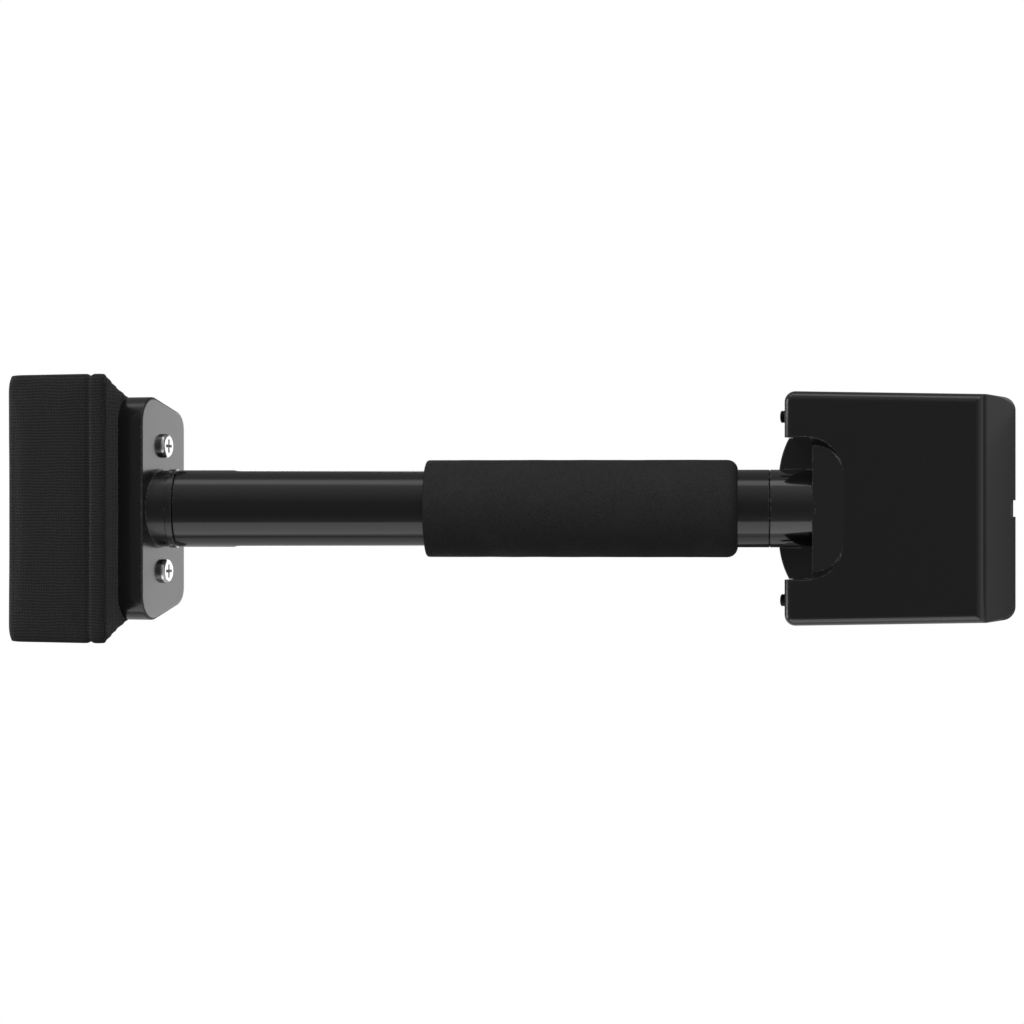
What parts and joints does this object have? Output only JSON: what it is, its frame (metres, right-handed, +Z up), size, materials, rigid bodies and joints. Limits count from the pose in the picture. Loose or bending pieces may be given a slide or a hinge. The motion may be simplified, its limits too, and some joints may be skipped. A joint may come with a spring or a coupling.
{
  "type": "carpet knee kicker",
  "caption": "Short carpet stretching tool: pinned metal head, round steel handle with foam grip, and a padded knee block.",
  "frame": {"origin": "middle of the flat underside of the head, on the carpet", "axes": "+X forward from the padded block to the head, +Y to the user's left, +Z up"},
  "size_m": [0.4151, 0.1136, 0.1299],
  "materials": {
    "head_paint": "gloss black stove enamel on a die casting",
    "base_zinc": "bright zinc plate",
    "screw_zinc": "bright zinc plate",
    "nap_steel": "ground steel",
    "pin_steel": "ground steel",
    "block_aluminium": "as machined",
    "black_oxide": "black oxide",
    "tube_paint": "gloss black enamel",
    "grip_foam": "matte closed cell foam",
    "bracket_paint": "gloss black stove enamel on a die casting",
    "plywood": "bare birch plywood",
    "pad_foam": "open cell foam",
    "pad_cloth": "matte black knit cloth"
  },
  "bodies": {
    "tool": {"head_casting": "head_paint", "base_plate": "base_zinc", "base_plate_screws": "screw_zinc", "nap_grip_left": "nap_steel", "nap_grip_right": "nap_steel", "nap_grip_rivets": "screw_zinc", "guide_posts": "pin_steel", "handle_tube": "tube_paint", "foam_grip": "grip_foam", "head_tube_screw": "screw_zinc", "bracket_tube_screw": "screw_zinc", "pad_bracket": "bracket_paint", "pad_screws": "screw_zinc", "pad_t_nuts": "screw_zinc", "pad_board": "plywood", "pad_foam": "pad_foam", "pad_cover": "pad_cloth", "cover_staples": "screw_zinc"},
    "pins": {"pin_block": "block_aluminium", "carpet_pins": "pin_steel"},
    "left_lock": {"lock_screw_left": "black_oxide"},
    "right_lock": {"lock_screw_right": "black_oxide"}
  },
  "joints": [
    {"name": "pin_depth", "type": "slide", "parent": "tool", "child": "pins", "axis": [0, 0, -1], "range_m": [0, 0.005]},
    {"name": "left_lock_turn", "type": "hinge", "parent": "tool", "child": "left_lock", "pos_m": [-0.046, 0.0394, 0.0215], "axis": [1, 0, 0], "range_deg": [-360, 0]},
    {"name": "right_lock_turn", "type": "hinge", "parent": "tool", "child": "right_lock", "pos_m": [-0.046, -0.0394, 0.0215], "axis": [1, 0, 0], "range_deg": [-360, 0]}
  ]
}
